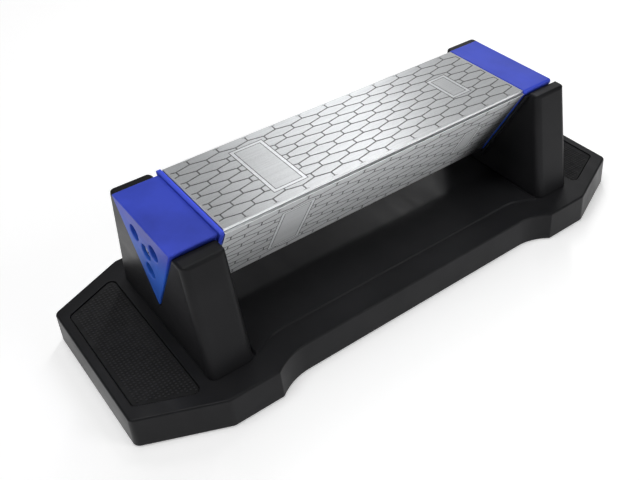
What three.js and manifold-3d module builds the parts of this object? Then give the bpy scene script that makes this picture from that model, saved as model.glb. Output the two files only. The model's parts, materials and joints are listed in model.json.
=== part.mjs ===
// Three-sided diamond sharpening block on a cradle base.
// Millimetres, +X along the block, +Z up, origin on the bench at the centre of the base.

import * as THREE from 'three';
import { mergeVertices } from 'three/addons/utils/BufferGeometryUtils.js';
import Module from 'manifold-3d';

const wasm = await Module();
wasm.setup();

// ---------------------------------------------------------------- driving dimensions

const GAP = 0.3;                 // kept between pieces that touch

const BENCH_CLEARANCE = 0.6;     // height of the base's rim above the bench
const BASE_TOP = 14.7;           // height of the base's upper face
const BASE_WALL = 2.8;
const BASE_DRAFT = 0.5;          // how far the rim stands out past the upper face's outline
const BASE_EDGE_RADIUS = 1.2;
const BASE_END_X = 130.0;        // half length
const BASE_END_HALF = 35.4;      // half width of the straight end edge
const BASE_KINK_X = 96.8;        // where the slanted end edges begin
const BASE_KINK_HALF = 50.3;     // half of the greatest width
const BASE_COVE_X = 75.0;        // where the waist begins
const BASE_COVE_RADIUS = 25.0;
const BASE_COVE_RUN = 7.5;       // from the cove's corner point to its start
const BASE_WAIST_HALF = 44.8;
const RIB_THICKNESS = 1.6;
const RIB_PITCH_X = 23.0;
const RIB_PITCH_Y = 22.0;

const DECK_RISE = 0.8;           // raised deck between the two uprights
const DECK_HALF = 32.2;
const DECK_FLARE_X = 66.6;
const DECK_FLARE_RADIUS = 20.0;
const DECK_END_X = 77.9;
const DECK_END_HALF = 38.2;

const PAD_INNER_X = 102.3;       // grip pad recess, parallel to the platform's edges
const PAD_OUTER_X = 126.0;
const PAD_INNER_HALF = 40.4;
const PAD_OUTER_HALF = 29.9;
const PAD_CORNER = 2.5;
const PAD_RECESS = 1.5;
const PAD_THICKNESS = 1.0;

const AXIS_Z = 53.7;             // the block's long axis
const PLATE_FACE = 15.0;         // from the axis to a plate's working face
const PLATE_THICKNESS = 1.0;
const PLATE_WIDTH = 48.2;
const PLATE_LENGTH = 152.0;

const COLLAR_LENGTH = 2.0;
const COLLAR_CORNER = 0.8;
const CAP_END_WALL = 6.8;
const SPIGOT_FACE = 9.4;         // from the axis to a flat side of the core's spigots

const CRADLE_INNER_X = 78.7;
const CRADLE_OUTER_X = 98.0;
const CRADLE_TOP_OUTER_X = 96.9;
const CRADLE_FOOT_HALF = 38.8;
const CRADLE_TOP_HALF = 30.8;
const CRADLE_CORNER = 3.2;
const CRADLE_EDGE_RADIUS = 1.4;
const CRADLE_WALL = 2.8;
const CRADLE_BOSS_RADIUS = 4.0;
const CRADLE_BOSS_TOP = 31.0;
const NOTCH_RIB_X = 76.6;        // where the rib along a notch begins
const NOTCH_RIB_THICKNESS = 1.2;
const NOTCH_RIB_DROP = 0.8;      // from the upright's top to the rib's

const FOOT_X = 112.0;
const FOOT_Y = 26.0;
const FOOT_RADIUS = 7.0;
const FOOT_HEIGHT = 2.4;
const FOOT_BOSS_RADIUS = 9.0;

const CRADLE_SCREW_X = 88.3;
const CRADLE_SCREW_Y = 26.0;
const CRADLE_SCREW_SEAT = 5.0;   // height of the face that the screw head bears on

const SCREW = { shank: 1.75, head: 3.0, headHeight: 2.0, length: 20.0 };
const CAP_SCREW = { shank: 1.5, head: 2.9, headHeight: 1.9, length: 13.0 };
const CAP_SCREW_CIRCLE = 9.2;    // from the axis to each cap screw
const COUNTERBORE_RADIUS = 3.4;
const COUNTERBORE_DEPTH = 4.4;

const ROD_RADIUS = 2.0;
const ROD_END_RADIUS = 1.4;
const NUT_RADIUS = 2.9;
const NUT_LENGTH = 3.0;

// The two ends. The left cap is lower than the plates behind its collar; the right one is flush,
// and a rib along its upright's notch reaches to the ends of the plates.
const ENDS = {
  left: {
    side: -1,
    capEndX: 97.8,
    capFace: 13.84,
    capCorner: 0.6,
    collared: true,
    cradleTop: 65.2,
    ribbed: false,
  },
  right: {
    side: 1,
    capEndX: 93.4,
    capFace: PLATE_FACE,
    capCorner: 1.2,
    collared: false,
    cradleTop: 66.7,
    ribbed: true,
  },
};

const SEGMENTS = 20;             // sides of a round hole or pin
const CORNER_STEPS = 4;          // chords in a rounded corner

// ---------------------------------------------------------------- materials

const blackPlastic = () => new THREE.MeshStandardMaterial({ color: 0x1d1d1f, roughness: 0.5, metalness: 0 });
const bluePlastic = () => new THREE.MeshStandardMaterial({ color: 0x2e3cc4, roughness: 0.45, metalness: 0 });
const greyPlastic = () => new THREE.MeshStandardMaterial({ color: 0x6a6d70, roughness: 0.6, metalness: 0 });
const rubber = () => new THREE.MeshStandardMaterial({ color: 0x19191b, roughness: 0.9, metalness: 0 });
const diamondPlate = () => new THREE.MeshStandardMaterial({ color: 0xb4b7ba, roughness: 0.35, metalness: 1 });
const steel = () => new THREE.MeshStandardMaterial({ color: 0xc8cacd, roughness: 0.3, metalness: 1 });

// ---------------------------------------------------------------- solids

/** A closed loop through corners [x, y, radius]; each corner is rounded to its radius. */
function roundedLoop(corners) {
  const loop = [];
  corners.forEach(([x, y, radius = 0, steps = CORNER_STEPS], i) => {
    const corner = new THREE.Vector2(x, y);
    if (radius === 0) {
      loop.push(corner);
      return;
    }
    const before = corners.at(i - 1);
    const after = corners[(i + 1) % corners.length];
    const toBefore = new THREE.Vector2(before[0] - x, before[1] - y).normalize();
    const toAfter = new THREE.Vector2(after[0] - x, after[1] - y).normalize();
    const half = Math.acos(toBefore.dot(toAfter)) / 2;
    const start = corner.clone().addScaledVector(toBefore, radius / Math.tan(half));
    const bisector = toBefore.clone().add(toAfter).normalize();
    const centre = corner.clone().addScaledVector(bisector, radius / Math.sin(half));
    const turn = Math.sign(-toBefore.cross(toAfter)) * (Math.PI - 2 * half);
    for (let k = 0; k <= steps; k += 1) {
      loop.push(start.clone().rotateAround(centre, turn * k / steps));
    }
  });
  return loop;
}

/** The same outline moved inward by a distance; corners run anticlockwise and stay tangent. */
function inset(corners, distance) {
  return corners.map(([x, y, radius = 0, steps], i) => {
    const point = new THREE.Vector2(x, y);
    const before = point.clone().sub(new THREE.Vector2(...corners.at(i - 1))).normalize();
    const next = new THREE.Vector2(...corners[(i + 1) % corners.length]);
    const after = next.sub(point).normalize();
    const along = before.clone().add(after).normalize();
    const reach = distance / before.dot(along);
    const outwardCorner = before.cross(after) > 0;
    const smaller = Math.max(radius - distance, Math.min(radius, 0.2));
    const moved = radius === 0 || outwardCorner ? smaller : radius + distance;
    return [x - along.y * reach, y + along.x * reach, moved, steps];
  });
}

/** Corners given for x > 0 and y > 0, in order of falling x, mirrored to all four quarters. */
function fourQuarters(corners) {
  const reversed = [...corners].reverse();
  const flip = (list, sx, sy) => list.map(([x, y, ...rest]) => [sx * x, sy * y, ...rest]);
  return [
    ...corners,
    ...flip(reversed, -1, 1),
    ...flip(corners, -1, -1),
    ...flip(reversed, 1, -1),
  ];
}

const upright = (u, v, w) => [u, v, w];    // sections in XY, stacked along Z
const lengthwise = (u, v, w) => [w, u, v]; // sections in YZ, stacked along X

/** A closed solid through outlines {corners, at} of equal point count, in rising order. */
function loft(outlines, place = upright) {
  const rings = outlines.map(({ corners, at }) => ({ loop: roundedLoop(corners), at }));
  const count = rings[0].loop.length;
  const positions = rings.flatMap(({ loop, at }) => loop.flatMap(({ x, y }) => place(x, y, at)));
  const triangles = [];
  for (let r = 0; r + 1 < rings.length; r += 1) {
    for (let i = 0; i < count; i += 1) {
      const j = (i + 1) % count;
      const low = r * count;
      const high = low + count;
      triangles.push(low + i, low + j, high + j, low + i, high + j, high + i);
    }
  }
  const topStart = (rings.length - 1) * count;
  for (const [a, b, c] of THREE.ShapeUtils.triangulateShape(rings[0].loop, [])) {
    triangles.push(a, c, b);
  }
  for (const [a, b, c] of THREE.ShapeUtils.triangulateShape(rings.at(-1).loop, [])) {
    triangles.push(topStart + a, topStart + b, topStart + c);
  }
  return new wasm.Manifold(new wasm.Mesh({
    numProp: 3,
    vertProperties: new Float32Array(positions),
    triVerts: new Uint32Array(triangles),
  }));
}

function prism(corners, from, to, place) {
  return loft([{ corners, at: from }, { corners, at: to }], place);
}

/** A solid from a three.js geometry, once its shared vertices are merged. */
function solidFrom(geometry) {
  const bare = geometry.clone();
  bare.deleteAttribute('normal');
  bare.deleteAttribute('uv');
  const merged = mergeVertices(bare, 1e-5);
  return new wasm.Manifold(new wasm.Mesh({
    numProp: 3,
    vertProperties: new Float32Array(merged.attributes.position.array),
    triVerts: new Uint32Array(merged.index.array),
  }));
}

function geometryFrom(solid) {
  const { vertProperties, triVerts } = solid.getMesh();
  const geometry = new THREE.BufferGeometry();
  geometry.setAttribute('position', new THREE.BufferAttribute(new Float32Array(vertProperties), 3));
  geometry.setIndex(new THREE.BufferAttribute(new Uint32Array(triVerts), 1));
  return geometry;
}

function box(x0, x1, y0, y1, z0, z1) {
  const geometry = new THREE.BoxGeometry(x1 - x0, y1 - y0, z1 - z0);
  geometry.translate((x0 + x1) / 2, (y0 + y1) / 2, (z0 + z1) / 2);
  return solidFrom(geometry);
}

function uprightCylinder(radius, x, y, z0, z1) {
  const geometry = new THREE.CylinderGeometry(radius, radius, z1 - z0, SEGMENTS);
  geometry.rotateX(Math.PI / 2);
  geometry.translate(x, y, (z0 + z1) / 2);
  return solidFrom(geometry);
}

function lengthwiseCylinder(radius, x0, x1, y, z) {
  const geometry = new THREE.CylinderGeometry(radius, radius, x1 - x0, SEGMENTS);
  geometry.rotateZ(Math.PI / 2);
  geometry.translate((x0 + x1) / 2, y, z);
  return solidFrom(geometry);
}

const joined = (solids) => solids.reduce((all, solid) => all.add(solid));
const cut = (solid, tools) => tools.reduce((rest, tool) => rest.subtract(tool), solid);

// ---------------------------------------------------------------- assembly

const assembly = new THREE.Group();

function addPiece(name, geometry, material, parent = assembly) {
  const mesh = new THREE.Mesh(geometry, material);
  mesh.name = name;
  parent.add(mesh);
  return mesh;
}

const SIDES = Object.entries(ENDS).map(([name, end]) => [name, end.side]);
const ROWS = [['front', -1], ['rear', 1]];

// ---------------------------------------------------------------- base

const baseOutline = fourQuarters([
  [BASE_END_X, BASE_END_HALF, 3.0],
  [BASE_KINK_X, BASE_KINK_HALF, 4.0],
  [BASE_COVE_X, BASE_KINK_HALF, 1.0],
  [BASE_COVE_X - BASE_COVE_RUN, BASE_WAIST_HALF, BASE_COVE_RADIUS, 6],
]);

const deckOutline = fourQuarters([
  [DECK_END_X, DECK_END_HALF],
  [DECK_FLARE_X, DECK_HALF, DECK_FLARE_RADIUS],
]);

const padOutline = [
  [PAD_OUTER_X, -PAD_OUTER_HALF, PAD_CORNER],
  [PAD_OUTER_X, PAD_OUTER_HALF, PAD_CORNER],
  [PAD_INNER_X, PAD_INNER_HALF, PAD_CORNER],
  [PAD_INNER_X, -PAD_INNER_HALF, PAD_CORNER],
];

/** A solid for the right end, turned half a turn about Z for the left end. */
const atEnd = (solid, side) => (side > 0 ? solid : solid.rotate([0, 0, 180]));

function baseShell() {
  const rounding = (angle) => BASE_EDGE_RADIUS * (1 - Math.cos(angle));
  const edge = [0, Math.PI / 4, Math.PI / 2].map((angle) => ({
    corners: inset(baseOutline, rounding(angle)),
    at: BASE_TOP - BASE_EDGE_RADIUS * (1 - Math.sin(angle)),
  }));
  const outer = loft([{ corners: inset(baseOutline, -BASE_DRAFT), at: BENCH_CLEARANCE }, ...edge]);

  const ceiling = BASE_TOP - BASE_WALL;
  const hollow = prism(inset(baseOutline, BASE_WALL), 0, ceiling);
  const reach = BASE_END_X + BASE_DRAFT;
  const ribs = [];
  for (let x = -5 * RIB_PITCH_X; x <= 5 * RIB_PITCH_X; x += RIB_PITCH_X) {
    ribs.push(box(x - RIB_THICKNESS / 2, x + RIB_THICKNESS / 2, -60, 60, -1, ceiling + 1));
  }
  for (let y = -RIB_PITCH_Y; y <= RIB_PITCH_Y; y += RIB_PITCH_Y) {
    ribs.push(box(-reach, reach, y - RIB_THICKNESS / 2, y + RIB_THICKNESS / 2, -1, ceiling + 1));
  }
  const bosses = [];
  const holes = [];
  for (const [, side] of SIDES) {
    for (const [, row] of ROWS) {
      const footAt = [side * FOOT_X, row * FOOT_Y];
      const screwAt = [side * CRADLE_SCREW_X, row * CRADLE_SCREW_Y];
      const seat = CRADLE_SCREW_SEAT;
      bosses.push(uprightCylinder(FOOT_BOSS_RADIUS, ...footAt, -1, ceiling + 1));
      bosses.push(uprightCylinder(SCREW.head + 2.4, ...screwAt, -1, ceiling + 1));
      holes.push(uprightCylinder(FOOT_RADIUS + GAP, ...footAt, -1, FOOT_HEIGHT + GAP));
      holes.push(uprightCylinder(SCREW.head + 0.6, ...screwAt, -1, seat));
      holes.push(uprightCylinder(SCREW.shank + GAP, ...screwAt, -1, BASE_TOP + 1));
    }
    const recess = prism(padOutline, BASE_TOP - PAD_RECESS, BASE_TOP + 1);
    holes.push(atEnd(recess, side));
  }
  const openCells = cut(hollow, [...ribs, ...bosses]);
  const deck = loft([
    { corners: deckOutline, at: BASE_TOP - 0.5 },
    { corners: deckOutline, at: BASE_TOP },
    { corners: inset(deckOutline, DECK_RISE), at: BASE_TOP + DECK_RISE },
  ]);
  return cut(outer.subtract(openCells).add(deck), holes);
}

addPiece('base_shell', geometryFrom(baseShell()), blackPlastic());

for (const [name, side] of SIDES) {
  const floor = BASE_TOP - PAD_RECESS + GAP;
  const pad = prism(inset(padOutline, GAP), floor, floor + PAD_THICKNESS);
  addPiece(`grip_pad_${name}`, geometryFrom(atEnd(pad, side)), rubber());
}

for (const [sideName, side] of SIDES) {
  for (const [rowName, row] of ROWS) {
    const foot = uprightCylinder(FOOT_RADIUS, side * FOOT_X, row * FOOT_Y, 0, FOOT_HEIGHT);
    addPiece(`foot_${rowName}_${sideName}`, geometryFrom(foot), rubber());
  }
}

// ---------------------------------------------------------------- uprights

/** The section of a three-sided bar, apex down, whose flats lie at a distance from the axis. */
function triangle(face, radius) {
  return [30, 150, 270].map((degrees) => {
    const angle = THREE.MathUtils.degToRad(degrees);
    return [2 * face * Math.cos(angle), AXIS_Z + 2 * face * Math.sin(angle), radius];
  });
}

/** A V-shaped space around the axis, open upward. */
function notch(face, x0, x1) {
  const apex = AXIS_Z - 2 * face;
  const reach = 60;
  const mouth = reach / Math.sqrt(3);
  const section = [[mouth, apex + reach], [-mouth, apex + reach], [0, apex]];
  return prism(section, x0, x1, lengthwise);
}

function cradleSection(top, z, shrink) {
  const rise = (z - BASE_TOP) / (top - BASE_TOP);
  const outerX = THREE.MathUtils.lerp(CRADLE_OUTER_X, CRADLE_TOP_OUTER_X, rise) - shrink;
  const half = THREE.MathUtils.lerp(CRADLE_FOOT_HALF, CRADLE_TOP_HALF, rise) - shrink;
  const innerX = CRADLE_INNER_X + shrink;
  const corner = Math.max(CRADLE_CORNER - shrink, 0.5);
  const corners = [
    [outerX, -half, corner],
    [outerX, half, corner],
    [innerX, half, corner],
    [innerX, -half, corner],
  ];
  return { corners, at: z };
}

/** A rib along both sides of a notch, on the upright's inner face; the notch is cut out later. */
function notchRib({ cradleTop, capFace }) {
  const outside = notch(capFace + GAP + NOTCH_RIB_THICKNESS, NOTCH_RIB_X, CRADLE_INNER_X + CRADLE_WALL);
  const below = box(NOTCH_RIB_X - 1, 100, -60, 60, 0, cradleTop - NOTCH_RIB_DROP);
  return outside.intersect(below);
}

/** An upright as it stands at the right-hand end, up to a top height, with room for a cap. */
function cradle(end) {
  const { cradleTop: top, capFace } = end;
  const foot = BASE_TOP + GAP;
  const edgeStart = top - CRADLE_EDGE_RADIUS;
  const body = loft([
    cradleSection(top, foot, 0),
    cradleSection(top, edgeStart, 0),
    cradleSection(top, edgeStart + CRADLE_EDGE_RADIUS * 0.71, CRADLE_EDGE_RADIUS * 0.29),
    cradleSection(top, top, CRADLE_EDGE_RADIUS),
  ]);
  const hollow = loft([
    cradleSection(top, foot - 1, CRADLE_WALL),
    cradleSection(top, top - CRADLE_WALL, CRADLE_WALL),
  ]).subtract(notch(capFace + GAP + CRADLE_WALL, 0, 200));
  const bosses = [];
  const pilots = [];
  for (const [, row] of ROWS) {
    const at = [CRADLE_SCREW_X, row * CRADLE_SCREW_Y];
    const webInner = CRADLE_INNER_X + CRADLE_WALL / 2;
    const webOuter = CRADLE_TOP_OUTER_X - CRADLE_WALL / 2;
    const webSide = row * CRADLE_SCREW_Y;
    bosses.push(uprightCylinder(CRADLE_BOSS_RADIUS, ...at, foot, CRADLE_BOSS_TOP));
    bosses.push(box(webInner, webOuter, webSide - 1, webSide + 1, foot, CRADLE_BOSS_TOP));
    pilots.push(uprightCylinder(SCREW.shank + GAP, ...at, foot - 1, CRADLE_BOSS_TOP - 3));
  }
  const blank = end.ribbed ? body.add(notchRib(end)) : body;
  const shell = blank.subtract(notch(capFace + GAP, 0, 200)).subtract(hollow);
  return cut(joined([shell, ...bosses]), pilots);
}

for (const [name, end] of Object.entries(ENDS)) {
  addPiece(`cradle_${name}`, geometryFrom(atEnd(cradle(end), end.side)), blackPlastic());
}

// ---------------------------------------------------------------- screws

/** A pan-head screw along +Y from its head, whose seat is at the origin, as a turned profile. */
function screwGeometry({ shank, head, headHeight, length }) {
  const profile = [
    [0, -headHeight],
    [head * 0.72, -headHeight],
    [head, -headHeight * 0.55],
    [head, 0],
    [shank, 0],
    [shank, length - shank],
    [0, length],
  ];
  return new THREE.LatheGeometry(profile.map(([r, y]) => new THREE.Vector2(r, y)), SEGMENTS - 6);
}

/** A closed, merged copy of a geometry that keeps only its positions. */
const closed = (geometry) => geometryFrom(solidFrom(geometry));

for (const [sideName, side] of SIDES) {
  for (const [rowName, row] of ROWS) {
    const name = `cradle_screw_${rowName}_${sideName}`;
    const screw = addPiece(name, closed(screwGeometry(SCREW)), steel());
    screw.rotation.x = Math.PI / 2;
    screw.position.set(side * CRADLE_SCREW_X, row * CRADLE_SCREW_Y, CRADLE_SCREW_SEAT - GAP);
  }
}

// ---------------------------------------------------------------- sharpening block

const plateHalfLength = PLATE_LENGTH / 2;
const collarStart = plateHalfLength + GAP;

/** Positions of the three cap screws around the axis, one towards each corner. */
const capScrewSpots = [30, 150, 270].map((degrees) => {
  const angle = THREE.MathUtils.degToRad(degrees);
  return [CAP_SCREW_CIRCLE * Math.cos(angle), AXIS_Z + CAP_SCREW_CIRCLE * Math.sin(angle)];
});

function core() {
  const face = PLATE_FACE - PLATE_THICKNESS - GAP;
  const bar = prism(triangle(face, 0.4), -plateHalfLength, plateHalfLength, lengthwise);
  const leftReach = ENDS.left.capEndX - CAP_END_WALL - GAP;
  const rightReach = ENDS.right.capEndX - CAP_END_WALL - GAP;
  const spigots = prism(triangle(SPIGOT_FACE, 1.0), -leftReach, rightReach, lengthwise);
  const depth = CAP_SCREW.length;
  const holes = [lengthwiseCylinder(ROD_RADIUS + GAP, -110, 110, 0, AXIS_Z)];
  for (const [y, z] of capScrewSpots) {
    holes.push(lengthwiseCylinder(CAP_SCREW.shank + GAP, -leftReach - 1, -leftReach + depth, y, z));
    holes.push(lengthwiseCylinder(CAP_SCREW.shank + GAP, rightReach - depth, rightReach + 1, y, z));
  }
  return cut(bar.add(spigots), holes);
}

addPiece('stone_core', geometryFrom(core()), greyPlastic());

const PLATES = [['plate_coarse', 0], ['plate_medium', 120], ['plate_fine', 240]];
for (const [name, degrees] of PLATES) {
  const turned = new THREE.Group();
  turned.position.z = AXIS_Z;
  turned.rotation.x = THREE.MathUtils.degToRad(degrees);
  const geometry = new THREE.BoxGeometry(PLATE_LENGTH, PLATE_WIDTH, PLATE_THICKNESS);
  const plate = addPiece(name, geometry, diamondPlate(), turned);
  plate.position.z = PLATE_FACE - PLATE_THICKNESS / 2;
  assembly.add(turned);
}

/** A cap as it sits at the right-hand end. Only one of the two has a collar against the plates. */
function endCap({ capEndX: endX, capFace, capCorner, collared }) {
  const body = [prism(triangle(capFace, capCorner), collarStart, endX, lengthwise)];
  if (collared) {
    const collarEnd = collarStart + COLLAR_LENGTH;
    body.push(prism(triangle(PLATE_FACE, COLLAR_CORNER), collarStart, collarEnd, lengthwise));
  }
  const pocketEnd = endX - CAP_END_WALL;
  const pocket = prism(triangle(SPIGOT_FACE + GAP, 1.0), collarStart - 1, pocketEnd, lengthwise);
  const seat = endX - COUNTERBORE_DEPTH;
  const holes = [
    lengthwiseCylinder(ROD_RADIUS + GAP, pocketEnd - 1, endX + 1, 0, AXIS_Z),
    lengthwiseCylinder(COUNTERBORE_RADIUS, seat, endX + 1, 0, AXIS_Z),
  ];
  for (const [y, z] of capScrewSpots) {
    holes.push(lengthwiseCylinder(CAP_SCREW.shank + GAP, pocketEnd - 1, endX + 1, y, z));
    holes.push(lengthwiseCylinder(COUNTERBORE_RADIUS, seat, endX + 1, y, z));
  }
  return cut(joined(body).subtract(pocket), holes);
}

for (const [name, end] of Object.entries(ENDS)) {
  const { side } = end;
  addPiece(`end_cap_${name}`, geometryFrom(atEnd(endCap(end), side)), bluePlastic());

  const seat = end.capEndX - COUNTERBORE_DEPTH + GAP;
  capScrewSpots.forEach(([y, z], i) => {
    const screw = addPiece(`cap_screw_${name}_${i + 1}`, closed(screwGeometry(CAP_SCREW)), steel());
    screw.rotation.z = side * Math.PI / 2;
    screw.position.set(side * seat, y, z);
  });

  const nutTurned = new THREE.LatheGeometry([
    new THREE.Vector2(ROD_END_RADIUS + GAP, 0),
    new THREE.Vector2(NUT_RADIUS, 0),
    new THREE.Vector2(NUT_RADIUS, NUT_LENGTH * 0.8),
    new THREE.Vector2(NUT_RADIUS * 0.8, NUT_LENGTH),
    new THREE.Vector2(ROD_END_RADIUS + GAP, NUT_LENGTH),
    new THREE.Vector2(ROD_END_RADIUS + GAP, 0),
  ], SEGMENTS);
  const nut = addPiece(`tie_nut_${name}`, closed(nutTurned), steel());
  nut.rotation.z = -side * Math.PI / 2;
  nut.position.set(side * seat, 0, AXIS_Z);
}

/** The tie rod through the block, stepped down at both ends to carry the nuts. */
function tieRod() {
  const left = ENDS.left.capEndX - COUNTERBORE_DEPTH;
  const right = ENDS.right.capEndX - COUNTERBORE_DEPTH;
  const thread = NUT_LENGTH - 0.4;
  return joined([
    lengthwiseCylinder(ROD_RADIUS, -left, right, 0, AXIS_Z),
    lengthwiseCylinder(ROD_END_RADIUS, -left - thread, right + thread, 0, AXIS_Z),
  ]);
}

addPiece('tie_rod', geometryFrom(tieRod()), steel());

export default assembly;
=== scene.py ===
"""Looks of a three-sided diamond sharpening block on its cradle base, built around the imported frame.

Pieces are made in millimetres and scaled to metres as they are finished. +X runs along the block.
"""

import json
import math

import bmesh
import bpy
from mathutils import Matrix, Vector
from mathutils.geometry import delaunay_2d_cdt


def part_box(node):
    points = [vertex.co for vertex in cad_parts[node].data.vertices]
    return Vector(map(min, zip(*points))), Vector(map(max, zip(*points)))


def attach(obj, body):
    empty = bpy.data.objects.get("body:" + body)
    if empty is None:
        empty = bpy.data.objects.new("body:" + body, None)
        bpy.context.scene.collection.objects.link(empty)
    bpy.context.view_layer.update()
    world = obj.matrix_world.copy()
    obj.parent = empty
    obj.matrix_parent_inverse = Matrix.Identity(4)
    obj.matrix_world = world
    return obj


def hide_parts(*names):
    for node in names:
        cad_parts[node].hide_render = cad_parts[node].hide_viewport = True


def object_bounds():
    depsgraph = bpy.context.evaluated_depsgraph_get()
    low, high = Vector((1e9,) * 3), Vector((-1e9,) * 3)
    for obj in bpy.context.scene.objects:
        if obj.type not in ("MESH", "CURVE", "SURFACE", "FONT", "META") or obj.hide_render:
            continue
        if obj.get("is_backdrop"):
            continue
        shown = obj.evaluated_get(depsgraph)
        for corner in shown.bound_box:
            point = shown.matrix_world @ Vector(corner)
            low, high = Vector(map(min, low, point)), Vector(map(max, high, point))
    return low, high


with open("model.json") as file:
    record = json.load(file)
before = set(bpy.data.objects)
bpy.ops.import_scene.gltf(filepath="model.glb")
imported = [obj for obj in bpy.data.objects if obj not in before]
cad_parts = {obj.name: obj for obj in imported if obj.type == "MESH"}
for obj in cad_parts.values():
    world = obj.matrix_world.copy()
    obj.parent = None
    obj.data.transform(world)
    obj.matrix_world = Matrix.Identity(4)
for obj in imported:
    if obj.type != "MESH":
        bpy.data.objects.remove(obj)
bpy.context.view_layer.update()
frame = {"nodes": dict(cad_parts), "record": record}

MM = 0.001


def span(node):
    """The lowest and highest corner of a CAD node, in millimetres."""
    low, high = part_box(node)
    return low / MM, high / MM


def plan_centre(node):
    """Where a CAD node stands: the x and y of its middle."""
    low, high = span(node)
    return (low.x + high.x) / 2, (low.y + high.y) / 2


# ---------------------------------------------------------------- names, and sizes in millimetres

SIDES = (("left", -1), ("right", 1))
ROWS = ("front", "rear")
FEET = [f"foot_{row}_{side}" for row in ROWS for side, _ in SIDES]
CRADLE_SCREWS = [f"cradle_screw_{row}_{side}" for row in ROWS for side, _ in SIDES]
THIRDS = [math.radians(a) for a in (30, 150, 270)]    # directions of the block's three corners

GAP = 0.3                       # clearance kept between pieces
OVERRUN = 2.0                   # how far a cutting tool runs past what it cuts
LEAST_RADIUS = 0.15             # a rounded corner stays at least this round when it is moved inward

base_low, base_high = span("base_shell")
pad_low, pad_high = span("grip_pad_right")
plate_low, plate_high = span("plate_coarse")
rod_low, rod_high = span("tie_rod")

BASE_DRAFT = 0.5                # how far the rim stands out past the top's outline
BASE_EDGE = 0.9                 # radii of the base's top edge and of its rim
BASE_RIM_EDGE = 0.25
BASE_WALL = 2.8
BASE_STEPS = 10                 # steps round a corner of the base
DECK_RISE = 0.8                 # the deck between the two uprights
BASE_TOP = base_high.z - DECK_RISE
END_X = base_high.x - BASE_DRAFT
END_HALF = 35.4
KINK_X = 96.8
KINK_HALF = base_high.y - BASE_DRAFT
COVE_X = 75.0
COVE_RUN = 7.5
WAIST_HALF = 44.8
BASE_CORNERS = [                # a quarter of the base's outline: x, y, radius
    (END_X, END_HALF, 3.0),
    (KINK_X, KINK_HALF, 4.0),
    (COVE_X, KINK_HALF, 1.0),
    (COVE_X - COVE_RUN, WAIST_HALF, 25.0),
]
DECK_CORNERS = [(77.9, 38.2, 0.6), (66.6, 32.2, 20.0)]
DECK_EDGE = [                   # the deck's sloping edge: distance inward, rise
    (-0.35, 0.0), (-0.1, 0.05), (0.12, 0.22), (0.45, 0.55), (0.66, 0.72), (0.86, 0.79), (1.1, 0.8),
]
RIB_THICKNESS = 1.6             # the ribs under the base
RIB_PITCH_X = 23.0
RIB_PITCH_Y = 22.0
RIB_REACH_X = 140.0             # past the base's walls
RIB_REACH_Y = 60.0
FOOT_BOSS_RADIUS = 9.0
SCREW_BOSS_WALL = 2.4           # the bosses around the screws that hold the uprights
SCREW_HEAD_CLEARANCE = 0.6
SCREW_SEAT = 5.0
SCREW_BORE = 2.05

RECESS_INNER_X = pad_low.x - GAP    # the recess that a grip pad lies in
RECESS_OUTER_X = pad_high.x + GAP
RECESS_INNER_HALF = 40.4
RECESS_OUTER_HALF = 29.9
RECESS_CORNER = 2.5
RECESS_DEPTH = 1.5
RECESS_LIP = 0.35
RECESS_FILLET = 0.25
PAD_EDGE = 0.15
PAD_STEPS = 5                   # steps round a corner of a pad
DOT_PITCH = 1.5                 # the pad's dots
DOT_RADIUS = 0.46
DOT_HEIGHT = 0.22
DOT_SIDES = 6
PAD_MARGIN = 0.9                # plain margin around the dots
PAD_SLANT_MARGIN = 0.3          # and how much wider it is along the slanted sides

AXIS_Z = (rod_low.z + rod_high.z) / 2
PLATE_FACE = plate_high.z - AXIS_Z
PLATE_THICKNESS = plate_high.z - plate_low.z
CAP_FACE = {"left": PLATE_FACE - 1.16, "right": PLATE_FACE}    # from the axis to a cap's flats
CAP_CORNER = {"left": 0.6, "right": 1.2}
CAP_INNER_EDGE = {"left": 0.2, "right": 0.45}    # rounding next to the plates
CAP_END_EDGE = 0.5
COLLAR_LENGTH = 2.0
COLLAR_CORNER = 0.8
COLLAR_EDGE = 0.3
COLLAR_FILLET = [               # face further out by, corner rounder by, distance from the collar
    (0.0, 0.0, 0.25), (0.07, 0.0, 0.07), (0.25, 0.1, 0.0),
]
CAP_END_WALL = 6.8
SPIGOT_FACE = 9.4               # from the axis to a flat of the core's spigot
SPIGOT_CORNER = 1.0
CAP_SCREW_CIRCLE = 9.2
COUNTERBORE = 3.4
COUNTERBORE_DEPTH = 4.4
COUNTERBORE_LIP = [(0.5, 0.0), (0.18, 0.18), (0.0, 0.55)]    # wider by, deeper by
CAP_SCREW_BORE = 1.8
ROD_BORE = 2.3

CRADLE_TAPER_X = 1.1            # how much narrower an upright is at its top
CRADLE_TAPER_Y = 8.0
CRADLE_WALL = 2.8
CRADLE_INNER_X = 78.7
CRADLE_CORNER = 3.2             # radii of an upright's standing edges and of its top edges
CRADLE_EDGE = 1.4
CRADLE_EDGE_STEPS = 7
NOTCH_EDGE = 0.7
NOTCH_RIB_THICKNESS = 1.2
NOTCH_RIB_DROP = 0.8            # from the upright's top to its rib's
NOTCH_RIB_EDGE = 0.3
NOTCH_RIB_ROOT = 0.5            # how far short of the wall's inside the rib ends
CRADLE_BOSS_RADIUS = 4.0        # the screw bosses inside an upright
CRADLE_BOSS_TOP = 31.0
CRADLE_PILOT_TOP = 28.0
CRADLE_WEB_HALF = 1.0           # half thickness of the webs that join them to its walls
CRADLE_WEB_DROP = 0.5

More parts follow.
